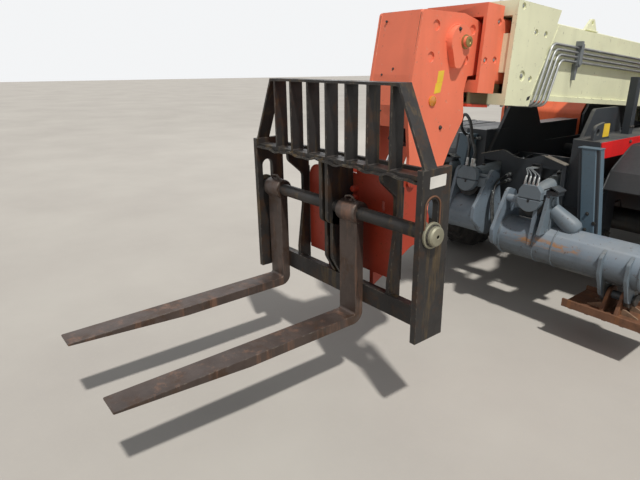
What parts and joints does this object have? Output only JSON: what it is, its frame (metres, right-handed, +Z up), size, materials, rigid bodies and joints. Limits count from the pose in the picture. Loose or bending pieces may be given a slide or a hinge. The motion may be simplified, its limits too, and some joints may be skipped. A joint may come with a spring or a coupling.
{
  "type": "telehandler",
  "caption": "Rough-terrain telehandler with a telescoping boom beside an enclosed cab, front stabilizers, four steered wheels and a pallet fork carriage.",
  "frame": {"origin": "on the ground under the middle of the machine's whole length, forks lowered", "axes": "+X the machine's left, +Y its rear (it faces -Y), +Z up"},
  "size_m": [2.375, 7.4301, 2.54],
  "materials": {
    "tyre": "matte",
    "rim": "satin",
    "chassis": "satin",
    "boom_cream": "satin",
    "boom_orange": "satin",
    "coupler_red": "satin",
    "carriage_black": "satin",
    "fork_steel": "satin",
    "stabilizer_grey": "satin",
    "foot_rust": "satin",
    "barrel_paint": "satin",
    "rod": "polished",
    "cab_paint": "satin",
    "glass": "polished",
    "seat": "satin",
    "controls": "satin",
    "hood": "satin",
    "engine": "satin",
    "fender": "satin",
    "weight": "satin",
    "lamp": "satin",
    "mirror": "satin"
  },
  "bodies": {
    "chassis": {"frame_left": "chassis", "frame_right": "chassis", "frame_cross": "chassis", "axle_front": "chassis", "axle_rear": "chassis", "cab_shell": "cab_paint", "cab_glass": "glass", "seat": "seat", "controls": "controls", "engine_bay": "chassis", "engine_block": "engine", "fenders": "fender", "tank": "chassis", "counterweight": "weight", "lamps": "lamp", "mirrors": "mirror"},
    "door": {"cab_door": "cab_paint", "door_glass": "glass"},
    "hood": {"engine_hood": "hood"},
    "boom_base": {"boom_base": "boom_cream"},
    "boom_mid": {"boom_mid": "boom_orange"},
    "boom_inner": {"boom_inner": "boom_orange", "boom_head": "boom_orange"},
    "carriage": {"coupler": "coupler_red", "carriage": "carriage_black"},
    "fork_left": {"fork_left": "fork_steel"},
    "fork_right": {"fork_right": "fork_steel"},
    "lift_barrel": {"lift_barrel": "barrel_paint"},
    "lift_rod": {"lift_rod": "rod"},
    "tilt_barrel": {"tilt_barrel": "barrel_paint"},
    "tilt_rod": {"tilt_rod": "rod"},
    "knuckle_front_left": {"knuckle_front_left": "chassis"},
    "wheel_front_left": {"tyre_front_left": "tyre", "rim_front_left": "rim"},
    "knuckle_front_right": {"knuckle_front_right": "chassis"},
    "wheel_front_right": {"tyre_front_right": "tyre", "rim_front_right": "rim"},
    "knuckle_rear_left": {"knuckle_rear_left": "chassis"},
    "wheel_rear_left": {"tyre_rear_left": "tyre", "rim_rear_left": "rim"},
    "knuckle_rear_right": {"knuckle_rear_right": "chassis"},
    "wheel_rear_right": {"tyre_rear_right": "tyre", "rim_rear_right": "rim"},
    "leg_left": {"stabilizer_leg_left": "stabilizer_grey"},
    "foot_left": {"stabilizer_foot_left": "foot_rust"},
    "jack_barrel_left": {"stabilizer_barrel_left": "barrel_paint"},
    "jack_rod_left": {"stabilizer_rod_left": "rod"},
    "leg_right": {"stabilizer_leg_right": "stabilizer_grey"},
    "foot_right": {"stabilizer_foot_right": "foot_rust"},
    "jack_barrel_right": {"stabilizer_barrel_right": "barrel_paint"},
    "jack_rod_right": {"stabilizer_rod_right": "rod"}
  },
  "joints": [
    {"name": "boom_lift", "type": "hinge", "parent": "chassis", "child": "boom_base", "pos_m": [0, 3.065, 1.395], "axis": [-1, 0, 0], "range_deg": [-3, 65]},
    {"name": "boom_mid_slide", "type": "slide", "parent": "boom_base", "child": "boom_mid", "axis": [0, -0.9977, 0.0671], "range_m": [0, 3.5]},
    {"name": "boom_inner_slide", "type": "slide", "parent": "boom_mid", "child": "boom_inner", "axis": [0, -0.9977, 0.0671], "range_m": [0, 3.5]},
    {"name": "tool_tilt", "type": "hinge", "parent": "boom_inner", "child": "carriage", "pos_m": [0, -2.01, 0.8], "axis": [1, 0, 0], "range_deg": [-12, 70]},
    {"name": "fork_left_slide", "type": "slide", "parent": "carriage", "child": "fork_left", "axis": [1, 0, 0], "range_m": [-0.04, 0.4]},
    {"name": "fork_right_slide", "type": "slide", "parent": "carriage", "child": "fork_right", "axis": [1, 0, 0], "range_m": [-0.025, 0.395]},
    {"name": "lift_barrel_pivot", "type": "hinge", "parent": "chassis", "child": "lift_barrel", "pos_m": [0, 2.6, 0.52], "axis": [-1, 0, 0], "range_deg": [-2.51, 51.1]},
    {"name": "lift_rod_slide", "type": "slide", "parent": "lift_barrel", "child": "lift_rod", "axis": [0, -0.8788, 0.4772], "range_m": [-0.04525, 0.96586]},
    {"name": "tilt_barrel_pivot", "type": "hinge", "parent": "boom_inner", "child": "tilt_barrel", "pos_m": [0, -1.748, 1.762], "axis": [1, 0, 0], "range_deg": [-4, 0.8]},
    {"name": "tilt_rod_slide", "type": "slide", "parent": "tilt_barrel", "child": "tilt_rod", "axis": [0, -0.4702, -0.8826], "range_m": [-0.05781, 0.33538]},
    {"name": "stabilizer_left", "type": "hinge", "parent": "chassis", "child": "leg_left", "pos_m": [0.41, -0.385, 0.5], "axis": [1, 0, 0], "range_deg": [-8, 18]},
    {"name": "foot_left", "type": "hinge", "parent": "leg_left", "child": "foot_left", "pos_m": [0.86, -0.985, 0.35], "axis": [1, 0, 0], "range_deg": [-15, 15]},
    {"name": "jack_barrel_left", "type": "hinge", "parent": "leg_left", "child": "jack_barrel_left", "pos_m": [0.225, -1.035, 0.81], "axis": [1, 0, 0], "range_deg": [-2.98, 1.38]},
    {"name": "jack_rod_left", "type": "slide", "parent": "jack_barrel_left", "child": "jack_rod_left", "axis": [0, 0.9834, 0.1815], "range_m": [-0.05901, 0.13231]},
    {"name": "stabilizer_right", "type": "hinge", "parent": "chassis", "child": "leg_right", "pos_m": [-0.41, -0.385, 0.5], "axis": [1, 0, 0], "range_deg": [0, 26]},
    {"name": "foot_right", "type": "hinge", "parent": "leg_right", "child": "foot_right", "pos_m": [-0.86, -1.00004, 0.43496], "axis": [1, 0, 0], "range_deg": [-15, 15]},
    {"name": "jack_barrel_right", "type": "hinge", "parent": "leg_right", "child": "jack_barrel_right", "pos_m": [-0.225, -0.98553, 0.89745], "axis": [1, 0, 0], "range_deg": [-3.74, 0.1]},
    {"name": "jack_rod_right", "type": "slide", "parent": "jack_barrel_right", "child": "jack_rod_right", "axis": [0, 0.9985, 0.0541], "range_m": [-0.00037, 0.19209]},
    {"name": "steer_front_left", "type": "hinge", "parent": "chassis", "child": "knuckle_front_left", "pos_m": [0.76, 0.035, 0.54], "axis": [0, 0, 1], "range_deg": [-28, 28]},
    {"name": "roll_front_left", "type": "hinge", "parent": "knuckle_front_left", "child": "wheel_front_left", "pos_m": [0.985, 0.035, 0.54], "axis": [1, 0, 0], "continuous": true},
    {"name": "steer_front_right", "type": "hinge", "parent": "chassis", "child": "knuckle_front_right", "pos_m": [-0.76, 0.035, 0.54], "axis": [0, 0, 1], "range_deg": [-28, 28]},
    {"name": "roll_front_right", "type": "hinge", "parent": "knuckle_front_right", "child": "wheel_front_right", "pos_m": [-0.985, 0.035, 0.54], "axis": [1, 0, 0], "continuous": true},
    {"name": "steer_rear_left", "type": "hinge", "parent": "chassis", "child": "knuckle_rear_left", "pos_m": [0.76, 2.935, 0.54], "axis": [0, 0, 1], "range_deg": [-28, 28]},
    {"name": "roll_rear_left", "type": "hinge", "parent": "knuckle_rear_left", "child": "wheel_rear_left", "pos_m": [0.985, 2.935, 0.54], "axis": [1, 0, 0], "continuous": true},
    {"name": "steer_rear_right", "type": "hinge", "parent": "chassis", "child": "knuckle_rear_right", "pos_m": [-0.76, 2.935, 0.54], "axis": [0, 0, 1], "range_deg": [-28, 28]},
    {"name": "roll_rear_right", "type": "hinge", "parent": "knuckle_rear_right", "child": "wheel_rear_right", "pos_m": [-0.985, 2.935, 0.54], "axis": [1, 0, 0], "continuous": true},
    {"name": "cab_door", "type": "hinge", "parent": "chassis", "child": "door", "pos_m": [1.172, 0.808, 1.2], "axis": [0, 0, -1], "range_deg": [0, 80]},
    {"name": "engine_hood", "type": "hinge", "parent": "chassis", "child": "hood", "pos_m": [-0.345, 1.5, 1.437], "axis": [0, 1, 0], "range_deg": [0, 60]}
  ],
  "couplings": [
    {"joint": "boom_inner_slide", "follows": "boom_mid_slide", "ratio": 1},
    {"joint": "lift_barrel_pivot", "follows": "boom_lift", "ratio": 0.78377},
    {"joint": "lift_rod_slide", "follows": "boom_lift", "m_per_rad": 0.85008},
    {"joint": "tilt_barrel_pivot", "follows": "tool_tilt", "ratio": -0.055},
    {"joint": "tilt_rod_slide", "follows": "tool_tilt", "m_per_rad": 0.27373},
    {"joint": "jack_barrel_left", "follows": "stabilizer_left", "ratio": -0.16},
    {"joint": "jack_rod_left", "follows": "stabilizer_left", "m_per_rad": 0.42},
    {"joint": "jack_barrel_right", "follows": "stabilizer_right", "ratio": -0.14},
    {"joint": "jack_rod_right", "follows": "stabilizer_right", "m_per_rad": 0.4225},
    {"joint": "steer_front_right", "follows": "steer_front_left", "ratio": 1},
    {"joint": "steer_rear_right", "follows": "steer_rear_left", "ratio": 1}
  ]
}
